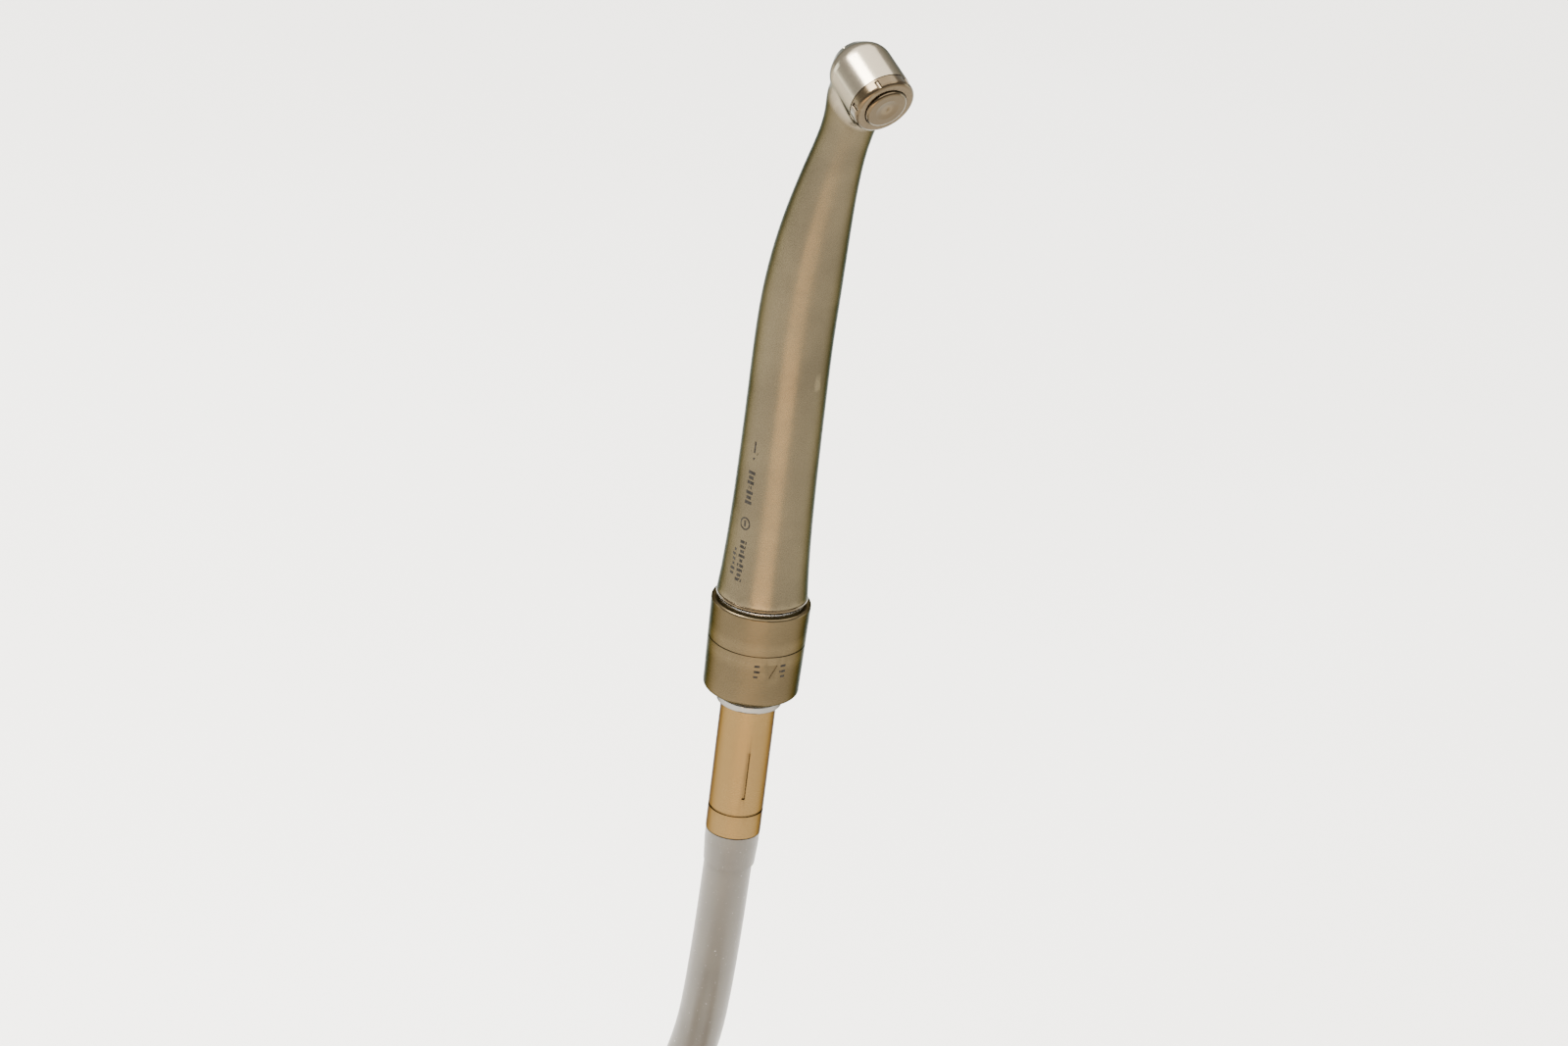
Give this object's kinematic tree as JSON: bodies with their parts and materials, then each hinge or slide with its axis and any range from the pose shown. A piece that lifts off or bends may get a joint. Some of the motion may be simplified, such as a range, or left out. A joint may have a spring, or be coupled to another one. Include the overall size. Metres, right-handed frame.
{
  "type": "high speed handpiece",
  "caption": "Air turbine handpiece with a bent neck and a push button head, on a quick coupling and hose.",
  "frame": {"origin": "middle of the coupling's underside, where it sits in the instrument holder", "axes": "+Z along the grip towards the head; the neck bends towards +X and the bur side faces -X"},
  "size_m": [0.1258, 0.1257, 0.2646],
  "materials": {
    "satin_steel": "fine satin, bead blasted",
    "polished_steel": "polished",
    "chrome": "bright",
    "warm_satin_metal": "satin, warm",
    "brass": "machined",
    "bearing_steel": "ground",
    "spring_steel": "drawn",
    "ceramic_balls": "polished ceramic",
    "cage_resin": "filled resin",
    "turbine_aluminium": "machined",
    "black_rubber": "matt",
    "hose_grey": "semi-gloss silicone",
    "tie_fabric": "woven"
  },
  "bodies": {
    "coupler": {"coupler_core": "brass", "coupler_housing": "satin_steel", "retaining_clip": "spring_steel", "sleeve_spring": "spring_steel", "lock_balls": "bearing_steel", "spigot_seals": "black_rubber", "water_check_valve": "black_rubber", "connector_gasket": "black_rubber", "hose_insert": "polished_steel", "rear_collar": "chrome", "hose_nut": "warm_satin_metal", "strain_relief": "hose_grey", "hose_tube": "hose_grey", "hose_coil": "hose_grey", "coil_tie": "tie_fabric", "tail_collar": "polished_steel", "tail_nipples": "polished_steel"},
    "swivel": {"swivel_ring": "chrome"},
    "handpiece": {"body_shell": "satin_steel", "tail_insert": "brass", "drive_air_tube": "polished_steel", "water_tube": "polished_steel", "spray_air_tube": "polished_steel", "front_outer_race": "bearing_steel", "rear_outer_race": "bearing_steel", "front_bearing_seal": "black_rubber", "rear_bearing_seal": "black_rubber", "preload_washer": "spring_steel", "back_cap": "satin_steel", "button_spring": "spring_steel"},
    "rotor": {"spindle": "bearing_steel", "impeller": "turbine_aluminium", "front_inner_race": "bearing_steel", "rear_inner_race": "bearing_steel", "chuck": "bearing_steel"},
    "front_ball_set": {"front_balls": "ceramic_balls", "front_cage": "cage_resin"},
    "rear_ball_set": {"rear_balls": "ceramic_balls", "rear_cage": "cage_resin"},
    "button": {"push_button": "polished_steel"},
    "plunger": {"chuck_plunger": "bearing_steel"},
    "sleeve": {"coupler_sleeve": "satin_steel"}
  },
  "joints": [
    {"name": "handpiece_swivel", "type": "hinge", "parent": "coupler", "child": "swivel", "pos_m": [0, 0, 0.02], "axis": [0, 0, 1], "continuous": true},
    {"name": "handpiece_pull_off", "type": "slide", "parent": "swivel", "child": "handpiece", "axis": [0, 0, 1], "range_m": [0, 0.026]},
    {"name": "sleeve_release", "type": "slide", "parent": "coupler", "child": "sleeve", "axis": [0, 0, -1], "range_m": [0, 0.0015], "stiffness_N_per_m": 1500, "springref_m": -0.002, "deforming": ["sleeve_spring"]},
    {"name": "button_press", "type": "slide", "parent": "handpiece", "child": "button", "axis": [-0.9272, 0, 0.3746], "range_m": [0, 0.0006], "stiffness_N_per_m": 3000, "springref_m": -0.0005, "deforming": ["button_spring"]},
    {"name": "turbine_spin", "type": "hinge", "parent": "handpiece", "child": "rotor", "pos_m": [0.01211, 0, 0.12219], "axis": [0.9272, 0, -0.3746], "continuous": true},
    {"name": "front_balls_roll", "type": "hinge", "parent": "handpiece", "child": "front_ball_set", "pos_m": [0.00862, 0, 0.1236], "axis": [0.9272, 0, -0.3746], "continuous": true},
    {"name": "rear_balls_roll", "type": "hinge", "parent": "handpiece", "child": "rear_ball_set", "pos_m": [0.01493, 0, 0.12106], "axis": [0.9272, 0, -0.3746], "continuous": true},
    {"name": "chuck_release", "type": "slide", "parent": "rotor", "child": "plunger", "axis": [-0.9272, 0, 0.3746], "range_m": [0, 0.00036]}
  ],
  "couplings": [
    {"joint": "front_balls_roll", "follows": "turbine_spin", "ratio": 0.41597},
    {"joint": "rear_balls_roll", "follows": "turbine_spin", "ratio": 0.41597},
    {"joint": "chuck_release", "follows": "button_press", "ratio": 0.6}
  ]
}
